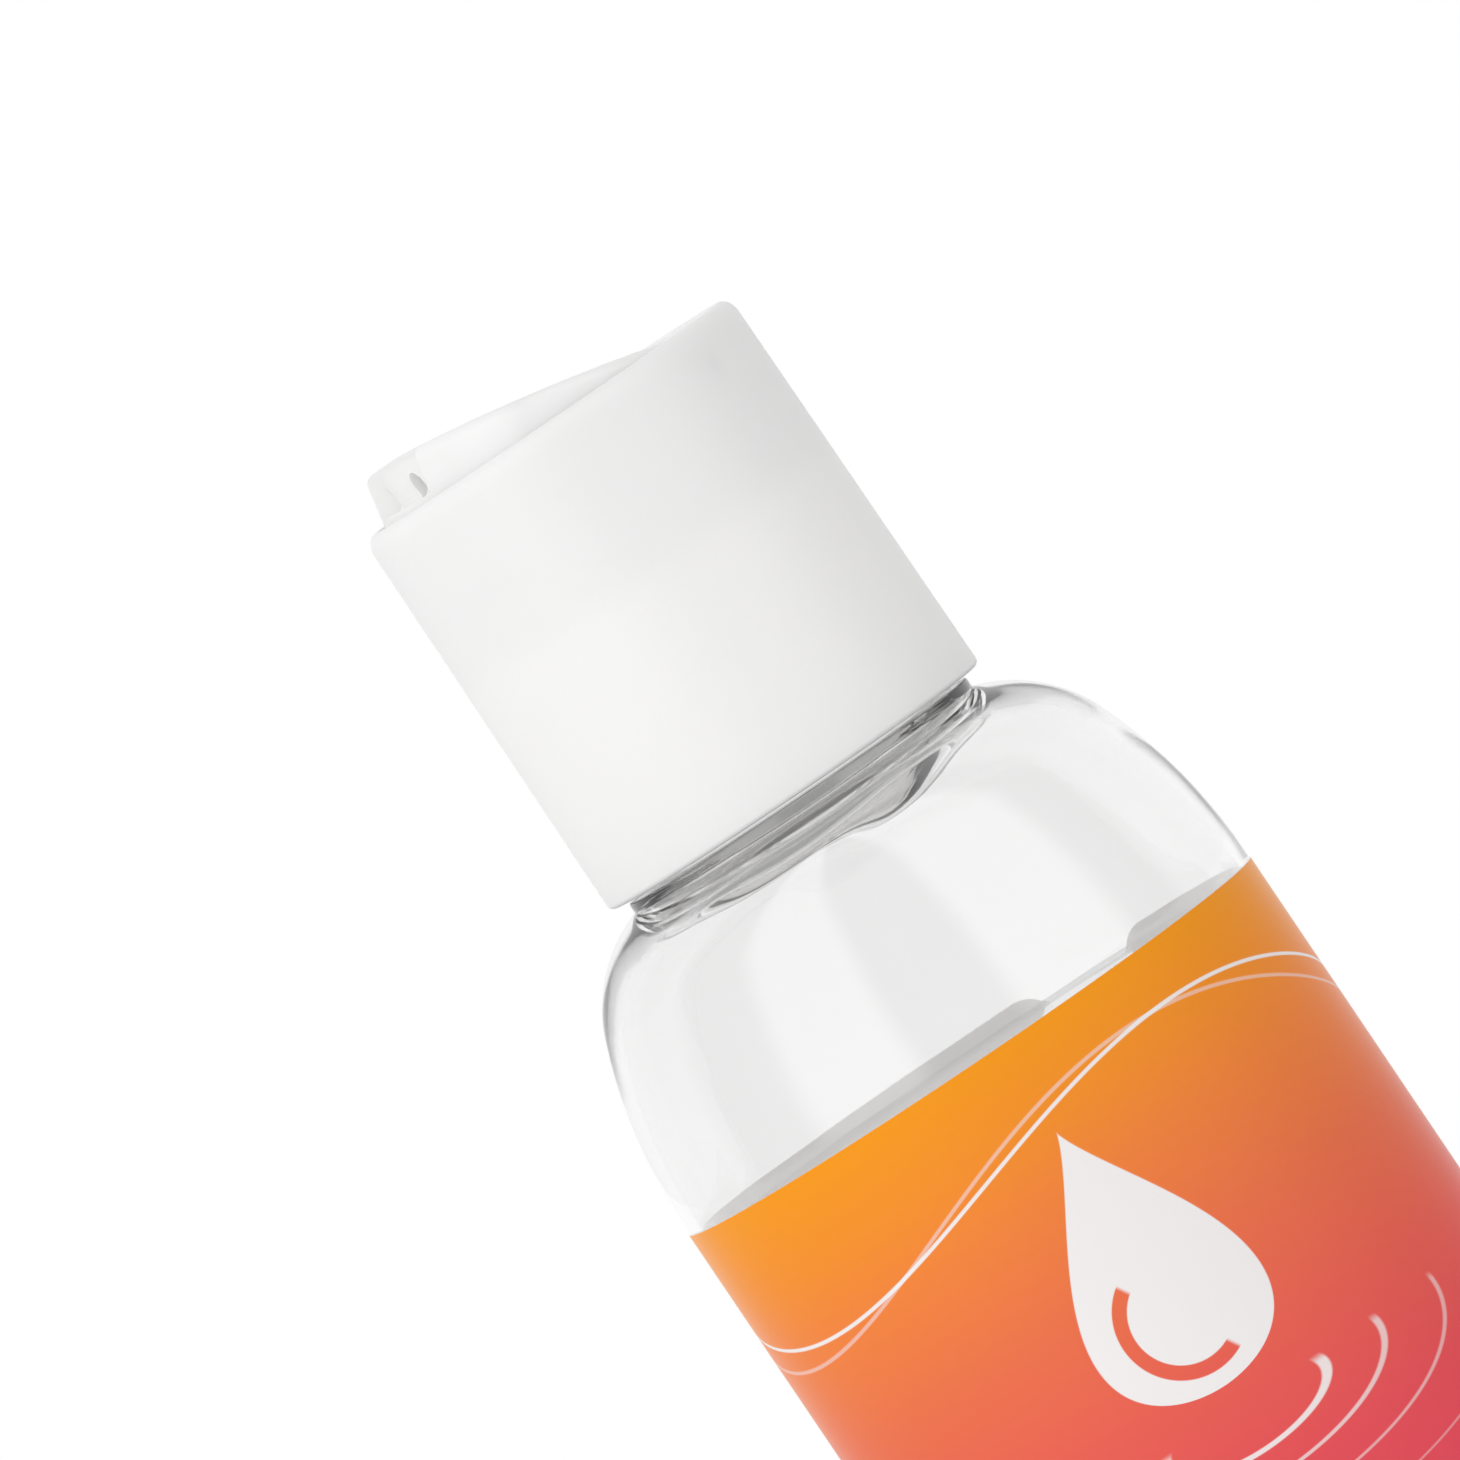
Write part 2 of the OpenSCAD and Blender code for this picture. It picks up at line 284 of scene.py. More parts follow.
def block(low: Triple, high: Triple) -> BMesh:
    """A box between two corners.

    Args:
        low: Lowest corner.
        high: Highest corner.

    Returns:
        The closed solid.
    """
    bm = bmesh.new()
    size = Vector(high) - Vector(low)
    middle = Matrix.Translation((Vector(high) + Vector(low)) / 2)
    bmesh.ops.create_cube(bm, size=1, matrix=middle @ Matrix.Diagonal((*size, 1)))
    return bm


def rod(radius: float, length: float, at: Matrix, soft: float = 0.1, steps: int = 48) -> BMesh:
    """A round pin along its own Z, its ends slightly rounded.

    Args:
        radius: Its radius.
        length: Its length.
        at: Where its middle goes.
        soft: Radius of the end edges.
        steps: Segments round it.

    Returns:
        The closed solid.
    """
    half = length / 2
    bm = Section().to(0, -half).to(radius, -half, soft).to(radius, half, soft).to(0, half).turned(steps)
    return moved(bm, at)


def moved(bm: BMesh, at: Matrix) -> BMesh:
    """The same mesh, moved by a matrix."""
    bmesh.ops.transform(bm, matrix=at, verts=bm.verts)
    return bm


def baked(name: str, bm: BMesh) -> Mesh:
    """Turns a working mesh, which is used up, into mesh data."""
    mesh = bpy.data.meshes.new(name)
    bm.to_mesh(mesh)
    bm.free()
    return mesh


def placed(name: str, data: Any) -> Object:
    """Puts a new object into the scene."""
    thing = bpy.data.objects.new(name, data)
    bpy.context.scene.collection.objects.link(thing)
    return thing


def gathered(*parts: BMesh) -> BMesh:
    """Puts several closed solids into one mesh.

    Args:
        *parts: The solids, which are used up.

    Returns:
        The one mesh.
    """
    whole = bmesh.new()
    for part in parts:
        mesh = baked("part", part)
        whole.from_mesh(mesh)
        bpy.data.meshes.remove(mesh)
    return whole


def joined(first: BMesh, second: BMesh, how: Join) -> BMesh:
    """Cuts one solid with another, unites the two or keeps what they share, exactly.

    Args:
        first: The solid that is worked on.
        second: The tool. Both are used up.
        how: Cut, add or share.

    Returns:
        The result.
    """
    things = [placed("solid", baked("solid", bm)) for bm in (first, second)]
    modifier = things[0].modifiers.new("join", "BOOLEAN")
    modifier.operation, modifier.solver, modifier.object = how.value, "EXACT", things[1]
    graph = bpy.context.evaluated_depsgraph_get()
    result = bpy.data.meshes.new_from_object(things[0].evaluated_get(graph))
    whole = bmesh.new()
    whole.from_mesh(result)
    for thing in things:
        bpy.data.meshes.remove(thing.data)
    bpy.data.meshes.remove(result)
    bmesh.ops.remove_doubles(whole, verts=whole.verts, dist=1e-4)
    bmesh.ops.dissolve_degenerate(whole, dist=1e-4, edges=whole.edges)
    return whole


def shown(
    name: str, bm: BMesh, body: Body, finishes: list[Material], crease: float = 32
) -> Object:
    """Makes a finished piece from a mesh in millimetres.

    Args:
        name: The piece's name.
        bm: Its mesh, which is used up.
        body: The body that it rides on.
        finishes: Its materials.
        crease: Edges sharper than this, in degrees, stay sharp.

    Returns:
        The object, at the origin, with its place in its mesh.
    """
    moved(bm, Matrix.Scale(MM, 4))
    mesh = baked(name, bm)
    mesh.shade_smooth()
    mesh.set_sharp_from_angle(angle=math.radians(crease))
    for finish in finishes:
        mesh.materials.append(finish)
    thing = placed(name, mesh)
    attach(thing, body.value)
    return thing


# ---------------------------------------------------------------- finishes


class Graph:
    """A short way to write a node tree."""

    def __init__(self, tree: bpy.types.NodeTree) -> None:
        """Starts on an empty tree."""
        self.tree = tree
        tree.nodes.clear()

    def node(self, kind: str, inputs: Inputs | None = None, **settings: Any) -> bpy.types.Node:
        """Adds a node.

        Args:
            kind: Its type, without the ShaderNode prefix.
            inputs: Values or sockets for its inputs, by name or place.
            **settings: Its own settings.

        Returns:
            The node.
        """
        made = self.tree.nodes.new("ShaderNode" + kind)
        for key, value in settings.items():
            setattr(made, key, value)
        for key, value in (inputs or {}).items():
            self.feed(made.inputs[key], value)
        return made

    def feed(self, socket: Socket, value: Value) -> None:
        """Links a socket or sets its value."""
        if isinstance(value, Socket):
            self.tree.links.new(value, socket)
        else:
            socket.default_value = value

    def math(self, operation: str, *values: Value, clamp: bool = False) -> Socket:
        """Works one thing out from up to three numbers.

        Args:
            operation: The Math node's operation.
            *values: Numbers or sockets.
            clamp: Whether the result is kept between 0 and 1.

        Returns:
            The result's socket.
        """
        return self.node("Math", dict(enumerate(values)), operation=operation, use_clamp=clamp).outputs[0]

    def noise(self, coords: Socket, scale: float, detail: float = 2.0) -> Socket:
        """Cloudy noise from 0 to 1, so many to a metre."""
        return self.node("TexNoise", {"Vector": coords, "Scale": scale, "Detail": detail}).outputs[0]

    def span(self, value: Socket, low: float, high: float) -> Socket:
        """A 0 to 1 value spread between low and high."""
        return self.node("MapRange", {"Value": value, "To Min": low, "To Max": high}).outputs[0]

    def step(self, value: Socket, start: float, end: float) -> Socket:
        """0 before start, 1 after end and smooth between, where end may be the lower."""
        flip = end < start
        ends = (end, start) if flip else (start, end)
        inputs: Inputs = {"Value": value, "From Min": ends[0], "From Max": ends[1]}
        inputs |= {"To Min": float(flip), "To Max": float(not flip)}
        return self.node("MapRange", inputs, interpolation_type="SMOOTHSTEP").outputs[0]

    def bump(self, height: Socket, depth: float) -> Socket:
        """The normal of a surface that a height from 0 to 1 lifts by depth metres."""
        return self.node("Bump", {"Height": height, "Distance": depth, "Strength": 1.0}).outputs[0]

    def tint(self, amount: Value, one: Value, two: Value) -> Socket:
        """Mixes two colours."""
        made = self.node("Mix", {"Factor": amount}, data_type="RGBA")
        self.feed(made.inputs[6], one)
        self.feed(made.inputs[7], two)
        return made.outputs[2]

    def ramp(self, value: Socket, stops: list[tuple[float, Triple]]) -> Socket:
        """Colours along a value from 0 to 1.

        Args:
            value: The value.
            stops: Places and colours.

        Returns:
            The colour's socket.
        """
        made = self.node("ValToRGB", {"Fac": value})
        elements = made.color_ramp.elements
        while len(elements) < len(stops):
            elements.new(0.5)
        for element, (place, colour) in zip(elements, stops):
            element.position, element.color = place, (*colour, 1.0)
        return made.outputs[0]


@dataclass(frozen=True)
class Finish(ABC):
    """What every finish has: a name, and a material with one Principled shader."""

    name: str

    @abstractmethod
    def look(self, graph: Graph, at: Socket) -> Inputs:
        """The shader's inputs, worked out from the Object coordinates."""

    def material(self) -> Material:
        """Makes the node material.

        Returns:
            The material.
        """
        material = bpy.data.materials.new(self.name)
        material.use_nodes = True
        graph = Graph(material.node_tree)
        principled = graph.node("BsdfPrincipled", self.look(graph, graph.node("TexCoord").outputs["Object"]))
        graph.node("OutputMaterial", {"Surface": principled.outputs[0]})
        return material


@dataclass(frozen=True)
class Moulding(Finish):
    """White polypropylene from a finely sparked mould: satin, a little cloudy, with a fine grain.

    Its emission is painted light on the faces inside, standing in for the daylight that the thin wall lets through.
    """

    colour: Triple = (0.9, 0.9, 0.895)
    roughness: float = 0.42
    grain: float = 6500.0
    painted_glow: float = 0.0

    def look(self, graph: Graph, at: Socket) -> Inputs:
        """The shader's inputs."""
        clouds = graph.noise(at, 140, 3)
        grain = graph.noise(at, self.grain, 2)
        darker = tuple(c * 0.985 for c in self.colour)
        return {
            "Base Color": graph.tint(clouds, (*self.colour, 1), (*darker, 1)),
            "Roughness": graph.span(clouds, self.roughness - 0.04, self.roughness + 0.04),
            "IOR": 1.49,
            "Subsurface Weight": 0.3,
            "Subsurface Radius": (0.9, 0.85, 0.8),
            "Subsurface Scale": 0.001,
            # Painted light: this emission lights the faces inside the cap in place of daylight let through the thin
            # wall.
            "Emission Color": (1, 1, 1, 1),
            "Emission Strength": self.painted_glow,
            "Normal": graph.bump(grain, 0.000006),
        }


@dataclass(frozen=True)
class ClearWall(Finish):
    """Clear blown polyester: glassy, hardly tinted, with the slow waves that blowing leaves."""

    colour: Triple = (0.952, 0.952, 0.951)
    ior: float = 1.57

    def look(self, graph: Graph, at: Socket) -> Inputs:
        """The shader's inputs."""
        waves = graph.noise(at, 90, 1)
        scuffs = graph.noise(at, 900, 4)
        return {
            "Base Color": (*self.colour, 1),
            "Roughness": graph.span(scuffs, 0.0, 0.03),
            "IOR": self.ior,
            "Transmission Weight": 1.0,
            "Normal": graph.bump(waves, 0.00006),
        }


@dataclass(frozen=True)
class ClearGel(Finish):
    """Water-clear gel, very slightly hazy."""

    def look(self, graph: Graph, at: Socket) -> Inputs:
        """The shader's inputs."""
        haze = graph.noise(at, 60, 2)
        return {
            "Base Color": graph.tint(haze, (0.955, 0.965, 0.965, 1), (0.97, 0.975, 0.97, 1)),
            "Roughness": 0.01,
            "IOR": 1.36,
            "Transmission Weight": 1.0,
            "Normal": graph.bump(haze, 0.00004),
        }


@dataclass(frozen=True)
class LabelPrint(Finish):
    """The label's printed face: a warm fade from amber to rose, with one drop, ripples and two fine waves.

    Sizes are in millimetres: across from the middle of the front, and up from the label's lower edge.
    """

    wide: float = 133.7
    tall: float = 98.0
    front: float = 0.5737
    drop_size: tuple[float, float] = (9.6, 10.0)
    drop_at: tuple[float, float] = (1.5, 81.5)
    gleam_drop: float = 4.4
    ripples_up: float = 69.0
    ripples_flat: float = 2.6

    def look(self, graph: Graph, at: Socket) -> Inputs:
        """The shader's inputs."""
        uv = graph.node("SeparateXYZ", {0: graph.node("UVMap", uv_map="Label").outputs[0]})
        across = graph.math("MULTIPLY", graph.math("SUBTRACT", uv.outputs[0], self.front), self.wide)
        up = graph.math("MULTIPLY", uv.outputs[1], self.tall)
        fade = graph.ramp(
            uv.outputs[1],
            [
                (0.0, (0.68, 0.03, 0.16)),
                (0.316, (0.73, 0.045, 0.14)),
                (0.52, (0.775, 0.062, 0.122)),
                (0.657, (0.812, 0.089, 0.107)),
                (0.738, (0.836, 0.125, 0.093)),
                (0.819, (0.852, 0.175, 0.075)),
                (0.9, (0.903, 0.242, 0.048)),
                (0.94, (0.921, 0.284, 0.029)),
                (1.0, (0.94, 0.332, 0.013)),
            ],
        )
        lines = graph.math("ADD", self._waves(graph, across, up), self._ripples(graph, across, up), clamp=True)
        marks = graph.math("MAXIMUM", lines, self._drop(graph, across, up))
        ink = graph.noise(at, 2600, 2)
        film = graph.noise(at, 240, 2)
        return {
            "Base Color": graph.tint(marks, fade, (0.9, 0.88, 0.87, 1)),
            "Roughness": graph.span(ink, 0.26, 0.34),
            "IOR": 1.34,
            "Specular IOR Level": 0.15,
            "Normal": graph.bump(film, 0.000012),
        }

    def _line(self, graph: Graph, distance: Socket, half: float, soft: float = 0.05) -> Socket:
        """1 within half of a line and 0 outside it."""
        return graph.step(graph.math("ABSOLUTE", distance), half + soft, half - soft)

    def _drop(self, graph: Graph, across: Socket, up: Socket) -> Socket:
        """A solid drop that points up, with a round gleam left out of its lower left."""
        (width, height), (aside, middle) = self.drop_size, self.drop_at
        x = graph.math("SUBTRACT", across, aside)
        v = graph.math("DIVIDE", graph.math("SUBTRACT", up, middle), height)
        left = graph.math("MAXIMUM", graph.math("SUBTRACT", 1.0, graph.math("MULTIPLY", v, v)), 0.0)
        round_part = graph.math("SQRT", left)
        taper = graph.math("POWER", graph.math("MULTIPLY", graph.math("SUBTRACT", 1.0, v), 0.5, clamp=True), 0.85)
        edge = graph.math("MULTIPLY", graph.math("MULTIPLY", round_part, taper), width)
        body = graph.step(graph.math("SUBTRACT", edge, graph.math("ABSOLUTE", x)), 0.0, 0.12)
        y = graph.math("SUBTRACT", up, middle - self.gleam_drop)
        inner = graph.math("POWER", graph.math("ADD", x, -0.2), 2.0)
        distance = graph.math("SQRT", graph.math("ADD", inner, graph.math("POWER", y, 2.0)))
        ring = self._line(graph, graph.math("SUBTRACT", distance, 4.0), 0.5)
        side = graph.step(graph.math("ADD", x, graph.math("MULTIPLY", y, 0.6)), 0.0, -0.4)
        return graph.math("SUBTRACT", body, graph.math("MULTIPLY", ring, side), clamp=True)

    def _ripples(self, graph: Graph, across: Socket, up: Socket) -> Socket:
        """Flat oval rings under the drop, paler the wider they are."""
        x = graph.math("DIVIDE", graph.math("SUBTRACT", across, self.drop_at[0]), self.ripples_flat)
        y = graph.math("SUBTRACT", up, self.ripples_up)
        distance = graph.math("SQRT", graph.math("ADD", graph.math("MULTIPLY", x, x), graph.math("MULTIPLY", y, y)))
        total: Value = 0.0
        for reach, half, strength in ((2.4, 0.16, 0.9), (4.3, 0.11, 0.65), (6.6, 0.08, 0.45), (9.3, 0.06, 0.3)):
            ring = self._line(graph, graph.math("SUBTRACT", distance, reach), half)
            total = graph.math("ADD", total, graph.math("MULTIPLY", ring, strength))
        under = graph.step(y, 0.9, 0.2)
        return graph.math("MULTIPLY", total, under)

    def _waves(self, graph: Graph, across: Socket, up: Socket) -> Socket:
        """Two fine waves right round the label, one white and one paler."""
        total: Value = 0.0
        for height, swing, shift, strength in ((91.0, 3.2, 0.4, 0.95), (90.4, 3.9, 0.75, 0.4), (14.0, 2.4, 1.1, 0.8)):
            phase = graph.math("ADD", graph.math("MULTIPLY", across, math.tau / 66.85), shift)
            wave = graph.math("MULTIPLY_ADD", graph.math("SINE", phase), swing, height)
            line = self._line(graph, graph.math("SUBTRACT", up, wave), 0.13)
            total = graph.math("ADD", total, graph.math("MULTIPLY", line, strength))
        return total


@dataclass(frozen=True)
class LabelBack(Finish):
    """The label's unprinted back, seen through the bottle: matt, greyish white, with painted light from an emission in
    place of light reaching it through the bottle.
    """

    def look(self, graph: Graph, at: Socket) -> Inputs:
        """The shader's inputs."""
        pulp = graph.noise(at, 1200, 3)
        return {
            "Base Color": graph.tint(pulp, (0.88, 0.87, 0.86, 1), (0.93, 0.92, 0.91, 1)),
            "Roughness": 0.55,
            # Painted light: this emission brightens the back in place of light reaching it through the bottle and gel.
            "Emission Color": (1, 0.98, 0.97, 1),
            "Emission Strength": 0.36,
        }


@dataclass(frozen=True)
class WasherFoam(Finish):
    """Foamed sealing sheet: matt, with small closed cells."""

    def look(self, graph: Graph, at: Socket) -> Inputs:
        """The shader's inputs."""
        cells = graph.node("TexVoronoi", {"Vector": at, "Scale": 4200.0}).outputs[0]
        return {
            "Base Color": graph.tint(cells, (0.87, 0.87, 0.84, 1), (0.92, 0.92, 0.9, 1)),
            "Roughness": 0.75,
            "Normal": graph.bump(cells, 0.00002),
        }


# ---------------------------------------------------------------- the bottle


@dataclass
class BlownBottle:
    """The clear bottle: push-up foot, straight body, two-arc shoulder, support ring and threaded neck."""

    body_r: float = 22.25
    body_top: float = 107.6
    wall: float = 0.8
    heel_r: float = 5.0
    stand_r: float = 14.75
    push_up: float = 3.2
    base_wall: float = 1.3
    shoulder_r: float = 35.0
    shoulder_turn: float = 22.0
    shoulder_end: float = 72.0
    shoulder_wall: float = 1.4
    throat_at: float = 85.0
    neck_r: float = 10.75
    bore_r: float = 9.0
    neck_h: float = 16.25
    ring_r: float = 13.4
    ring_t: float = 0.76
    thread_h: float = 1.1
    pitch: float = 3.175
    turns: float = 1.5
    thread_drop: float = 2.2
    wave: float = 0.14
    wave_low: float = 113.0
    wave_high: float = 127.5
    bend_r: float = field(init=False)
    bend_x: float = field(init=False)
    bend_z: float = field(init=False)
    ring_low: float = field(init=False)
    lip_z: float = field(init=False)

    def __post_init__(self) -> None:
        """Works out the upper shoulder arc and the heights above it."""
        low, end = math.radians(self.shoulder_turn), math.radians(self.shoulder_end)
        low_x = self.body_r - self.shoulder_r * (1 - math.cos(low))
        self.bend_r = (low_x - self.ring_r) / (math.cos(low) - math.cos(end))
        self.bend_x = low_x - self.bend_r * math.cos(low)
        self.bend_z = self.body_top + (self.shoulder_r - self.bend_r) * math.sin(low)
        self.ring_low = self.bend_z + self.bend_r * math.sin(end)
        self.lip_z = self.ring_low + self.ring_t + self.neck_h

    def build(self, finish: Material) -> Object:
        """Makes the bottle.

        Args:
            finish: The clear wall's material.

        Returns:
            The piece.
        """
        shell = self._wavy(self._outline().turned())
        shell = joined(shell, self._thread(), Join.ADD)
        piece = shown("blown_bottle", shell, Body.BOTTLE, [finish], crease=38)
        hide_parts("bottle")
        return piece

    def _outline(self) -> Section:
        """The wall's section, up the outside and back down the inside."""
        lean = self.body_r - self.shoulder_r
        ring_top = self.ring_low + self.ring_t
        heel_x = self.body_r - self.heel_r
        outline = Section()
        self.dome(outline, 0.0, self.push_up, up=False)
        outline.to(heel_x, 0).arc(heel_x, self.heel_r, 90, 12)
        outline.to(self.body_r, self.body_top).arc(lean, self.body_top, self.shoulder_turn, 10)
        outline.arc(self.bend_x, self.bend_z, self.shoulder_end - self.shoulder_turn, 18)
        outline.to(self.ring_r, ring_top, 0.2).to(self.neck_r, ring_top, 0.25)
        outline.to(self.neck_r, self.lip_z, 0.35).to(self.bore_r, self.lip_z, 0.3)
        for x, z in self._inner_path():
            outline.to(x, z)
        outline.to(self.body_r - self.wall, self.heel_r).arc(heel_x, self.heel_r, -90, 12)
        outline.to(self.stand_r, self.wall)
        self.dome(outline, self.wall, self.push_up + self.base_wall, up=True)
        return outline

    def dome(self, outline: Section, low: float, high: float, up: bool) -> None:
        """Adds one face of the push-up to an outline.

        Args:
            outline: The outline that goes on.
            low: Height at the ring.
            high: Height at the axis.
            up: Whether it runs from the ring up to the axis, and not from the axis out.
        """
        rise = high - low
        big = (self.stand_r**2 + rise**2) / (2 * rise)
        sweep = math.degrees(math.asin(self.stand_r / big))
        if up:
            outline.arc(0, high - big, sweep, 14)
            outline.path[-1].co.x = 0
        else:
            outline.to(0, high).arc(0, high - big, -sweep, 14)

    def _inner_path(self) -> list[tuple[float, float]]:
        """The inside from the bore down to the body: a throat arc, then arcs whose wall thins out downwards."""
        thin, thick, lean = self.wall, self.shoulder_wall, self.body_r - self.shoulder_r
        middle = thin + (thick - thin) * 0.35
        at = math.radians(self.throat_at)
        inner = self.bend_r - thick
        entry = (self.bend_x + inner * math.cos(at), self.bend_z + inner * math.sin(at))
        throat = entry[0] - self.bore_r
        path = [(self.bore_r, entry[1] + throat + 5.0)]
        for index in range(9):
            turn = math.radians(180 + 82 * index / 8)
            path.append((self.bore_r + throat + throat * math.cos(turn), entry[1] + throat + throat * math.sin(turn)))
        for index in range(20, -1, -1):
            share = index / 20
            turn = math.radians(self.shoulder_turn + (self.throat_at - self.shoulder_turn) * share)
            reach = self.bend_r - middle - (thick - middle) * share
            path.append((self.bend_x + reach * math.cos(turn), self.bend_z + reach * math.sin(turn)))
        for index in range(9, -1, -1):
            turn = math.radians(self.shoulder_turn * index / 10)
            reach = self.shoulder_r - thin - (middle - thin) * index / 10
            path.append((lean + reach * math.cos(turn), self.body_top + reach * math.sin(turn)))
        return path

    def _wavy(self, shell: BMesh) -> BMesh:
        """Lets the inside of the upper shoulder run in slow waves, as blown plastic does near its neck."""
        shell.normal_update()
        for vert in shell.verts:
            x, y, z = vert.co
            away = Vector((x, y, 0)).normalized()
            if not self.wave_low < z < self.wave_high or vert.normal.dot(away + Vector((0, 0, 0.6))) > 0:
                continue
            turn = math.atan2(y, x)
            share = (z - self.wave_low) / (self.wave_high - self.wave_low)
            window = math.sin(math.pi * share) ** 2 * abs(math.sin(turn)) ** 3
            slow = math.sin(2 * turn + 0.6) * math.sin(0.55 * z + 1.3 * math.sin(turn))
            quick = 0.3 * math.sin(3 * turn + 1.1 * z) + 0.12 * math.sin(7 * turn - 2.1 * z)
            vert.co += vert.normal * (self.wave * window * (slow + quick))
        shell.normal_update()
        return shell

    def _thread(self) -> BMesh:
        """The neck's right-hand thread."""
        low = self.lip_z - self.thread_drop - self.pitch * self.turns
        sunk, tip = self.neck_r - 0.3, self.neck_r + self.thread_h
        corners = [(sunk, low - 0.8), (tip, low - 0.35), (tip, low + 0.35), (sunk, low + 0.8)]
        return helix(corners, self.neck_r, self.pitch, self.turns, 35)


@dataclass
class GelFill:
    """The gel in the bottle, with a low meniscus. It wets the wall, so its skin lies just inside the plastic."""

    radius: float = 21.5
    level: float = 105.65
    climb: float = 0.3
    gap: float = -0.05

    def build(self, bottle: BlownBottle, finish: Material) -> Object:
        """Makes the gel.

        Args:
            bottle: The bottle that holds it.
            finish: Its material.

        Returns:
            The piece.
        """
        inner = bottle.heel_r - bottle.wall - self.gap
        heel_x = bottle.body_r - bottle.heel_r
        low, high = bottle.wall + self.gap, bottle.push_up + bottle.base_wall + self.gap
        outline = Section()
        bottle.dome(outline, low, high, up=False)
        outline.to(heel_x, low).arc(heel_x, bottle.heel_r, 90, 12)
        outline.path[-1].co.x = heel_x + inner
        outline.to(self.radius, self.level + self.climb)
        for back, share in ((0.25, 0.52), (0.6, 0.24), (1.05, 0.09), (1.7, 0.0)):
            outline.to(self.radius - back, self.level + self.climb * share)
        outline.to(0, self.level)
        piece = shown("gel_fill", outline.turned(144), Body.BOTTLE, [finish], crease=50)
        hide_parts("gel")
        return piece


@dataclass
class WrapLabel:
    """The label: one film glued round the body, with rounded corners and an open strip between its ends."""

    radius: float = 22.2
    film: float = 0.12
    low: float = 9.0
    high: float = 107.0
    start: float = 73.5
    sweep: float = 342.5
    corner: float = 2.5
    steps: int = 342

    def build(self, print_face: Material, back: Material) -> Object:
        """Makes the label.

        Args:
            print_face: Material of the printed face.
            back: Material of the back.

        Returns:
            The piece.
        """
        outer = self.radius + self.film
        section = Section().to(self.radius, self.low).to(outer, self.low)
        section.to(outer, self.high).to(self.radius, self.high)
        bm = tidy(section.swept(self.sweep, self.steps))
        self._round_corners(bm)
        self._map(bm)
        bmesh.ops.rotate(bm, verts=bm.verts, cent=(0, 0, 0), matrix=Matrix.Rotation(math.radians(self.start), 3, "Z"))
        piece = shown("wrap_label", bm, Body.BOTTLE, [print_face, back])
        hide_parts("label")
        return piece

    @property
    def _length(self) -> float:
        """Length of the printed face, laid flat."""
        return math.radians(self.sweep) * (self.radius + self.film)

    def _along(self, vert: BMVert) -> float:
        """How far round from the first end a point lies, in millimetres."""
        turn = math.atan2(vert.co.y, vert.co.x) % math.tau
        if turn > math.radians(self.sweep + 4):
            turn = 0.0
        return turn * (self.radius + self.film)

    def _round_corners(self, bm: BMesh) -> None:
        """Draws the ends of the last few columns in, so that the four corners are round."""
        for vert in bm.verts:
            away = max(0.0, min(self._along(vert), self._length - self._along(vert)))
            if away < self.corner:
                cut = self.corner - math.sqrt(self.corner**2 - (self.corner - away) ** 2)
                vert.co.z += cut if vert.co.z < (self.low + self.high) / 2 else -cut

    def _map(self, bm: BMesh) -> None:
        """Lays the UV map along the strip and gives the inner face its own material."""
        layer = bm.loops.layers.uv.new("Label")
        for face in bm.faces:
            centre = face.calc_center_median()
            away = Vector((centre.x, centre.y, 0)).normalized()
            face.material_index = 0 if face.normal.dot(away) > 0.5 else 1
            for loop in face.loops:
                across = self._along(loop.vert) / self._length
                loop[layer].uv = (across, (loop.vert.co.z - self.low) / (self.high - self.low))


# ---------------------------------------------------------------- the closure


@dataclass
class Closure:
    """Sizes that the cap shell and its disc share, and where they sit."""

    cap_z: float = 127.597
    cap_h: float = 29.3
    turn: float = 22.0
    pivot_back: float = 6.0
    pivot_down: float = 3.0
    pin_r: float = 0.9
    pin_gap: float = 0.1
    pin_reach: float = 12.439
    disc_r: float = 13.05
    tilt: float = 12.0

    def in_cap(self) -> Matrix:
        """From the cap's own place, with the nozzle along -X, to the frame."""
        return Matrix.Translation((0, 0, self.cap_z)) @ Matrix.Rotation(math.radians(self.turn), 4, "Z")

    def in_disc(self) -> Matrix:
        """From the shut disc's own place, with the rim at height 0, to the frame with the disc open."""
        lift = Matrix.Translation((self.pivot_back, 0, self.cap_h - self.pivot_down))
        tip = Matrix.Rotation(math.radians(self.tilt), 4, "Y")
        return self.in_cap() @ lift @ tip @ Matrix.Translation((-self.pivot_back, 0, self.pivot_down))


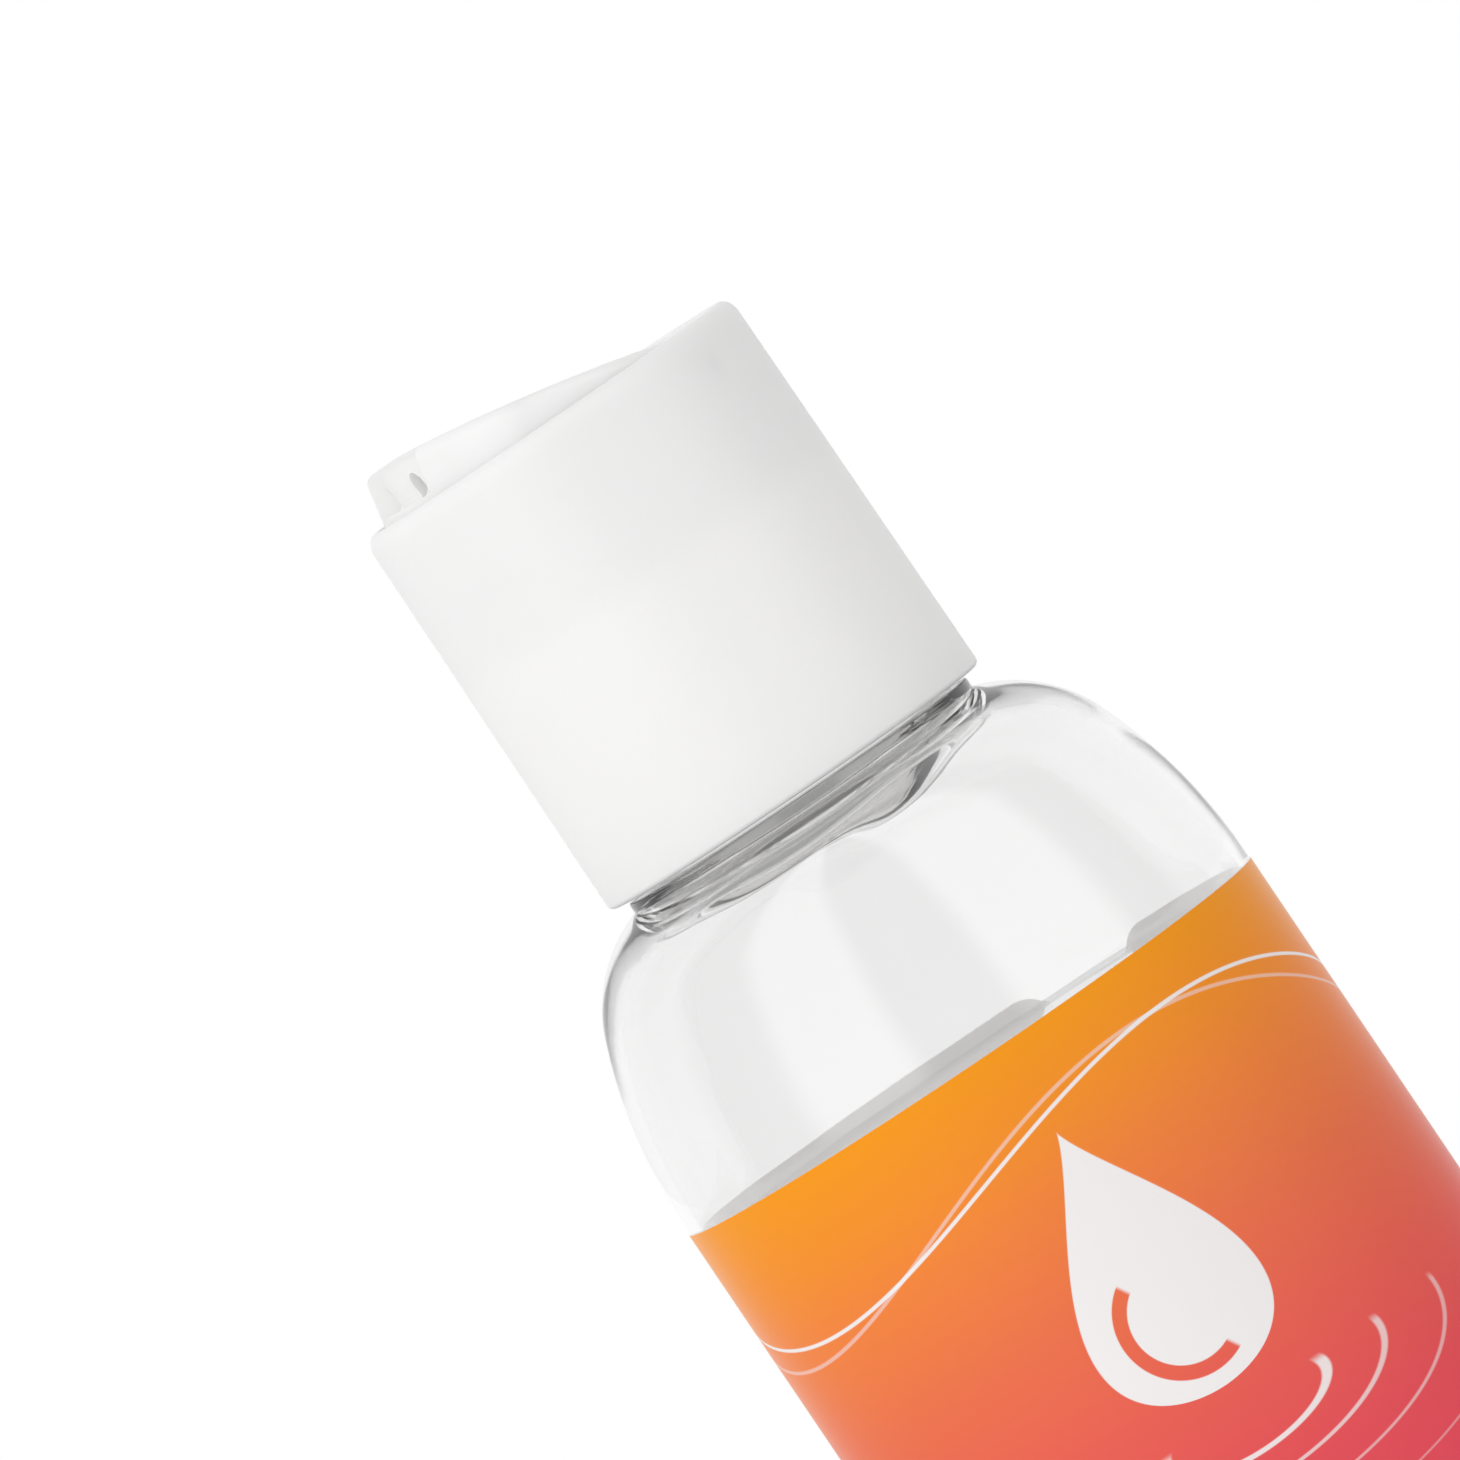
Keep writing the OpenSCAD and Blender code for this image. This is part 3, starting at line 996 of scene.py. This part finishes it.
@dataclass
class CapShell:
    """The white cap: skirt, rim, well, deck with spout, threaded inner skirt, webs, stop ledges and pivot sockets."""

    foot_r: float = 14.65
    rim_r: float = 14.47
    wall: float = 0.85
    round_w: float = 0.9
    round_h: float = 1.25
    well_r: float = 13.45
    deck_low: float = 17.1
    deck_top: float = 18.1
    inner_r: float = 12.1
    crest_r: float = 11.15
    spout_r: float = 2.3
    bore_r: float = 1.35
    spout_top: float = 24.3
    webs: int = 12
    web_t: float = 0.7
    ledge_w: float = 1.0
    ledge_arc: float = 80.0
    ledge_tops: tuple[float, float] = (23.05, 21.65)

    def build(self, closure: Closure, bottle: BlownBottle, finishes: list[Material]) -> Object:
        """Makes the cap.

        Args:
            closure: The shared sizes.
            bottle: The bottle whose thread it runs on.
            finishes: The white moulding's materials: outside, and inside with an emission that paints light on the
                hidden faces.

        Returns:
            The piece.
        """
        shell = joined(self._outline(closure).turned(240), self._sockets(closure), Join.CUT)
        thread = moved(self._thread(closure, bottle), Matrix.Rotation(-math.radians(closure.turn), 4, "Z"))
        bm = gathered(shell, thread, *self._webs(), *self._ledges())
        # Faces inside the cap take the second material, whose emission is painted light.
        for face in bm.faces:
            at = face.calc_center_median()
            face.material_index = int(at.z < self.deck_low + 0.01 and at.xy.length < self.rim_r - self.wall + 0.17)
        piece = shown("cap_shell_white", moved(bm, closure.in_cap()), Body.CAP, finishes)
        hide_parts("cap_shell")
        return piece

    def _outline(self, closure: Closure) -> Section:
        """The shell's section, with the spout's bore on the axis."""
        top, inside = closure.cap_h, self.rim_r - self.wall
        inner_out = self.inner_r + self.wall
        outline = Section().to(inside + 0.15, 0, 0.1, 2).to(self.foot_r, 0, 0.4, 6)
        for index in range(13):
            turn = math.radians(90 * index / 12)
            outline.to(self.rim_r - self.round_w * (1 - math.cos(turn)), top - self.round_h * (1 - math.sin(turn)))
        outline.to(self.well_r, top, 0.07, 2).to(self.well_r, self.deck_top, 0.5, 5)
        outline.to(self.spout_r + 1.2, self.deck_top, 0.4, 4).to(self.spout_r, self.deck_top + 1.2, 0.5, 4)
        outline.to(self.spout_r, self.spout_top, 0.3, 4).to(self.bore_r, self.spout_top, 0.25, 4)
        outline.to(self.bore_r, self.deck_low, 0.2, 3).to(self.inner_r, self.deck_low, 0.3, 3)
        outline.to(self.inner_r, 1.1).to(self.inner_r + 0.4, 0.6, 0.1, 2).to(inner_out, 0.6, 0.2, 3)
        outline.to(inner_out, self.deck_low, 0.15, 2).to(inside, self.deck_low, 0.15, 2).to(inside, 0.15, 0.1, 2)
        return outline

    def _sockets(self, closure: Closure) -> BMesh:
        """The cutter for the two pivot sockets, one rod right across the well."""
        reach = closure.pin_reach
        at = Matrix.Translation((closure.pivot_back, 0, closure.cap_h - closure.pivot_down))
        at = at @ Matrix.Rotation(math.radians(90), 4, "X")
        return rod(closure.pin_r + closure.pin_gap, 2 * reach + 0.2, at, 0.05, 32)

    def _thread(self, closure: Closure, bottle: BlownBottle) -> BMesh:
        """The cap's thread, which lies under the neck's."""
        low = bottle.lip_z - bottle.thread_drop - bottle.pitch * bottle.turns - closure.cap_z - 1.11
        sunk = self.inner_r + 0.3
        corners = [(sunk, low - 0.7), (self.crest_r, low - 0.35), (self.crest_r, low + 0.35), (sunk, low + 0.7)]
        return helix(corners, self.inner_r, bottle.pitch, bottle.turns, 35)

    def _webs(self) -> list[BMesh]:
        """The webs between the two skirts."""
        low, high = self.inner_r + self.wall - 0.2, self.rim_r - self.wall + 0.2
        corners = (low, -self.web_t / 2, 2), (high, self.web_t / 2, self.deck_low + 0.2)
        turns = [math.tau * (index + 0.5) / self.webs for index in range(self.webs)]
        return [moved(block(*corners), Matrix.Rotation(turn, 4, "Z")) for turn in turns]

    def _ledges(self) -> list[BMesh]:
        """The two ledges that stop the disc, the higher one on the nozzle's side."""
        made = []
        for top, middle in zip(self.ledge_tops, (180.0, 0.0)):
            inner, outer = self.well_r - self.ledge_w, self.well_r + 0.3
            section = Section().to(inner, top - 0.6).to(inner, top).to(outer, top).to(outer, top - 1.6)
            ledge = tidy(section.swept(self.ledge_arc, 60))
            made.append(moved(ledge, Matrix.Rotation(math.radians(middle - self.ledge_arc / 2), 4, "Z")))
        return made


@dataclass
class TiltDisc:
    """The disc: domed plate and skirt with the nozzle's scoop, and under it sleeve, plug, channel, ribs and pins."""

    crown: float = 0.3
    dome_r: float = 140.0
    edge_r: float = 0.7
    plate_t: float = 0.9
    skirt_t: float = 0.9
    skirt_down: float = 6.0
    face_w: float = 10.0
    face_low: float = 3.55
    bed_edge: float = 0.6
    bed_low: float = -4.9
    bed_back: float = -9.31
    housing_half: float = 1.85
    mouth_z: float = -2.3
    mouth_r: float = 0.9
    sleeve_r: float = 3.5
    sleeve_t: float = 0.8
    sleeve_down: float = 7.2
    plug_r: float = 1.22
    plug_down: float = 5.8
    rib_t: float = 0.8
    rib_deep: float = 2.0

    def build(self, closure: Closure, finish: Material) -> Object:
        """Makes the disc.

        Args:
            closure: The shared sizes.
            finish: The white moulding's material.

        Returns:
            The piece.
        """
        r = closure.disc_r
        plate = joined(self._plate(r), self._nozzle_bed(r), Join.ADD)
        plate = joined(joined(plate, self._scoop(), Join.CUT), self._bore(r), Join.CUT)
        inside = [self._sleeve(), self._plug(), *self._ribs(r), *self._pins(closure)]
        bm = moved(gathered(plate, *inside), closure.in_disc())
        piece = shown("tilt_disc_white", bm, Body.DISC, [finish])
        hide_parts("disc")
        return piece

    def _plate(self, r: float) -> BMesh:
        """The domed plate and its skirt."""
        low = math.degrees(math.asin((r - self.edge_r) / self.dome_r))
        outline = Section().to(0, self.crown).arc(0, self.crown - self.dome_r, -low, 10)
        edge = outline.path[-1].co.copy()
        outline.to(r, edge.z - 0.07, self.edge_r, 8)
        outline.to(r, -self.skirt_down, 0.2, 3).to(r - self.skirt_t, -self.skirt_down)
        outline.to(r - self.skirt_t, edge.z - self.plate_t, 0.3, 3).to(0, self.crown - self.plate_t)
        return outline.turned(240)

    def _scoop(self) -> BMesh:
        """The cutter for the nozzle's scoop: a soft brow, a hollow face and a lip that runs out."""
        section = Section().to(-15, 0.9).to(-12.4, 0.9).to(-11.1, -0.7, 1.2, 8).to(-10.3, -3.2, 0.5, 6)
        section.to(-13.0, -self.face_low).to(-15, -self.face_low)
        return section.pulled(-self.face_w / 2, self.face_w / 2)

    def _nozzle_bed(self, r: float) -> BMesh:
        """What lies behind the scoop: a block that follows the skirt, and the channel's housing."""
        inner, half, under = r - self.skirt_t / 2, self.face_w / 2 + self.bed_edge, self._ceiling()
        solid = block((-inner - 0.3, -half, self.bed_low), (self.bed_back, half, under))
        solid = joined(solid, rod(inner, 20, Matrix.Identity(4), 0, 240), Join.SHARE)
        side = self.housing_half
        housing = block((-11.0, -side, self.mouth_z - side), (-self.sleeve_r - 0.3, side, under))
        return joined(solid, housing, Join.ADD)

    def _ceiling(self) -> float:
        """Height inside the plate's thickness where everything under it ends."""
        return self.crown - self.plate_t * 0.6 - 0.3

    def _bore(self, r: float) -> BMesh:
        """The cutter for the mouth and its channel, into the sleeve."""
        length = r + 1 - 1.5
        at = Matrix.Translation((-1.5 - length / 2, 0, self.mouth_z)) @ Matrix.Rotation(math.radians(90), 4, "Y")
        return rod(self.mouth_r, length, at, 0, 40)

    def _sleeve(self) -> BMesh:
        """The sleeve round the spout's tip."""
        outer, top = self.sleeve_r + self.sleeve_t, self._ceiling()
        outline = Section().to(self.sleeve_r, top).to(self.sleeve_r, -self.sleeve_down, 0.2, 3)
        return outline.to(outer, -self.sleeve_down, 0.25, 3).to(outer, top).turned(72)

    def _plug(self) -> BMesh:
        """The plug that shuts the spout."""
        outline = Section().to(0, -self.plug_down).to(self.plug_r - 0.43, -self.plug_down, 0.2, 3)
        outline.to(self.plug_r, -self.plug_down + 0.8, 0.3, 3).to(self.plug_r, self._ceiling()).to(0, self._ceiling())
        return outline.turned(48)

    def _ribs(self, r: float) -> list[BMesh]:
        """The ribs under the plate."""
        low = (self.sleeve_r + 0.2, -self.rib_t / 2, -self.plate_t - self.rib_deep)
        high = (r - self.skirt_t / 2, self.rib_t / 2, self._ceiling())
        turns = [math.radians(turn) for turn in (0, 60, 120, 240, 300)]
        return [moved(block(low, high), Matrix.Rotation(turn, 4, "Z")) for turn in turns]

    def _pins(self, closure: Closure) -> list[BMesh]:
        """The two pivot pins."""
        made = []
        root = math.sqrt(closure.disc_r**2 - closure.pivot_back**2) - self.skirt_t / 2
        for side in (-1, 1):
            middle = side * (root + closure.pin_reach) / 2
            at = Matrix.Translation((closure.pivot_back, middle, -closure.pivot_down))
            at = at @ Matrix.Rotation(math.radians(90), 4, "X")
            made.append(rod(closure.pin_r, closure.pin_reach - root, at, 0.15, 32))
        return made


# ---------------------------------------------------------------- the studio


@dataclass
class Studio:
    """White floor and background, soft light from all round, and the photograph's camera."""

    lean: float = 34.0
    elevation: float = 1.9
    distance: float = 1.5
    frame_width: float = 0.0962
    target: Triple = (-0.00145, 0.0, 0.1331)
    ambient: float = 0.8
    key_power: float = 2.25

    def build(self) -> None:
        """Sets up floor, world, lamps and camera."""
        self._floor()
        self._world()
        self._lamps()
        self._camera()
        bpy.context.scene.view_settings.view_transform = "Standard"
        self._bounces()

    def _bounces(self) -> None:
        """Lets light find its way through clear walls and into the white cap, as it does in the real one."""
        cycles = bpy.context.scene.cycles
        cycles.max_bounces, cycles.transmission_bounces = 48, 32
        cycles.diffuse_bounces, cycles.glossy_bounces = 16, 12

    def _camera(self) -> None:
        """The close view, rolled so that the bottle leans to the upper left."""
        up_angle, roll = math.radians(self.elevation), math.radians(self.lean)
        forward = Vector((0, math.cos(up_angle), -math.sin(up_angle)))
        right, up = Vector((1, 0, 0)), Vector((0, math.sin(up_angle), math.cos(up_angle)))
        across = right * math.cos(roll) - up * math.sin(roll)
        above = right * math.sin(roll) + up * math.cos(roll)
        data = bpy.data.cameras.new("camera")
        data.sensor_width, data.clip_start, data.clip_end = 36, 0.05, 50
        data.lens = 36 * self.distance / self.frame_width
        camera = placed("camera", data)
        turn = Matrix((across, above, -forward)).transposed().to_4x4()
        camera.matrix_world = Matrix.Translation(Vector(self.target) - forward * self.distance) @ turn
        bpy.context.scene.camera = camera

    def _seen(self, graph: Graph) -> Socket:
        """1 for what the camera sees straight, in gloss or through the clear parts."""
        path = graph.node("LightPath").outputs
        gloss = graph.math("MAXIMUM", path["Is Glossy Ray"], path["Is Transmission Ray"])
        return graph.math("MAXIMUM", path["Is Camera Ray"], gloss)

    def _floor(self) -> None:
        """A pale floor that keeps the object's shadow near it and runs out into white."""
        bm = bmesh.new()
        bmesh.ops.create_circle(bm, cap_ends=True, radius=4, segments=96)
        mesh = baked("floor", bm)
        material = bpy.data.materials.new("floor_white")
        material.use_nodes = True
        graph = Graph(material.node_tree)
        at = graph.node("TexCoord").outputs["Object"]
        away = graph.node("VectorMath", {0: at}, operation="LENGTH").outputs["Value"]
        factor = graph.math("MULTIPLY", graph.step(away, 0.16, 0.7), self._seen(graph))
        matt = graph.node("BsdfDiffuse", {"Color": (0.9, 0.9, 0.9, 1)})
        white = graph.node("Emission", {"Color": (1, 1, 1, 1), "Strength": 1.0})
        blend = graph.node("MixShader", {0: factor, 1: matt.outputs[0], 2: white.outputs[0]})
        graph.node("OutputMaterial", {"Surface": blend.outputs[0]})
        mesh.materials.append(material)
        placed("floor", mesh)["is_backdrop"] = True

    def _world(self) -> None:
        """White for the camera; for gloss, white behind and two soft boxes in front, with darker gaps between."""
        world = bpy.data.worlds.new("studio")
        world.use_nodes = True
        graph = Graph(world.node_tree)
        path = graph.node("LightPath").outputs
        ray = graph.node("SeparateXYZ", {0: graph.node("TexCoord").outputs["Generated"]}).outputs
        turn = graph.math("ARCTAN2", ray[0], graph.math("MULTIPLY", ray[1], -1.0))
        place = graph.math("MULTIPLY_ADD", turn, 1 / math.tau, 0.5)
        gloss = self._boxes(graph, place, 0.88, 1.6, (0.2, 0.1, 0.2))
        through = self._boxes(graph, place, 1.0, 1.0, (0.9, 0.8, 0.7))
        side = graph.math("MULTIPLY_ADD", ray[0], -0.12, self.ambient)
        level = graph.tint(path["Is Glossy Ray"], side, gloss)
        level = graph.tint(path["Is Transmission Ray"], level, through)
        level = graph.tint(path["Is Camera Ray"], level, (1, 1, 1, 1))
        background = graph.node("Background", {"Color": level, "Strength": 1.0})
        graph.node("OutputWorld", {"Surface": background.outputs[0]})
        bpy.context.scene.world = world

    def _boxes(self, graph: Graph, place: Socket, back: float, box: float, gaps: Triple) -> Socket:
        """The pale back and two soft boxes, with a darker gap on the left, in front and on the right.

        Args:
            graph: The world's graph.
            place: Direction round the object, from 0 to 1, with the front in the middle.
            back: Level of the back.
            box: Level of the soft boxes.
            gaps: Levels of the three gaps.

        Returns:
            The level's colour.
        """
        left, front, right = gaps
        stops = [(-180, back), (-106, back), (-94, left), (-66, left), (-56, box), (-22, box), (-14, front)]
        stops += [(18, front), (26, box), (67, box), (77, right), (94, right), (106, back), (180, back)]
        return graph.ramp(place, [((deg + 180) / 360, (level, level, level)) for deg, level in stops])

    def _lamps(self) -> None:
        """One large soft lamp from the upper left front and a weak one from the left."""
        for name, place, size, power in (
            ("key", (-0.4, -0.85, 0.6), 0.7, self.key_power),
            ("rim_light", (-0.9, 0.15, 0.4), 0.5, self.key_power * 0.12),
        ):
            data = bpy.data.lights.new(name, "AREA")
            data.shape, data.size, data.energy = "SQUARE", size, power
            lamp = placed(name, data)
            lamp.location = place
            lamp.rotation_euler = (Vector((0, 0, 0.12)) - lamp.location).to_track_quat("-Z", "Y").to_euler()
            lamp.visible_glossy = lamp.visible_transmission = False


def corners() -> list[list[float]]:
    """The shown object's lowest and highest corner as plain numbers."""
    return [[round(float(value), 6) for value in corner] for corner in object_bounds()]


def main() -> None:
    """Loads the frame, builds every piece and the studio, and logs each piece's face count."""
    logging.basicConfig(level=logging.INFO, format="%(name)s: %(message)s")
    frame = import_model()
    clear = ClearWall("clear_wall").material()
    # The inside material's emission is painted light on the cap's hidden inner faces.
    whites = [Moulding("white_moulding").material(), Moulding("white_moulding_inside_painted_light", painted_glow=0.18).material()]
    disc_white = Moulding("white_disc_moulding", colour=(0.915, 0.915, 0.91), roughness=0.38).material()
    bottle, closure = BlownBottle(), Closure()
    steps: list[Callable[[], Object]] = [
        lambda: bottle.build(clear),
        lambda: GelFill().build(bottle, ClearGel("clear_gel").material()),
        lambda: WrapLabel().build(LabelPrint("label_print").material(), LabelBack("label_back_painted_light").material()),
        lambda: CapShell().build(closure, bottle, whites),
        lambda: TiltDisc().build(closure, disc_white),
    ]
    for step in steps:
        piece = step()
        LOG.info("%s: %d faces", piece.name, len(piece.data.polygons))
    washer = frame["nodes"]["liner"]
    washer.data.materials.clear()
    washer.data.materials.append(WasherFoam("washer_foam").material())
    Studio().build()


if __name__ == "__main__":
    main()
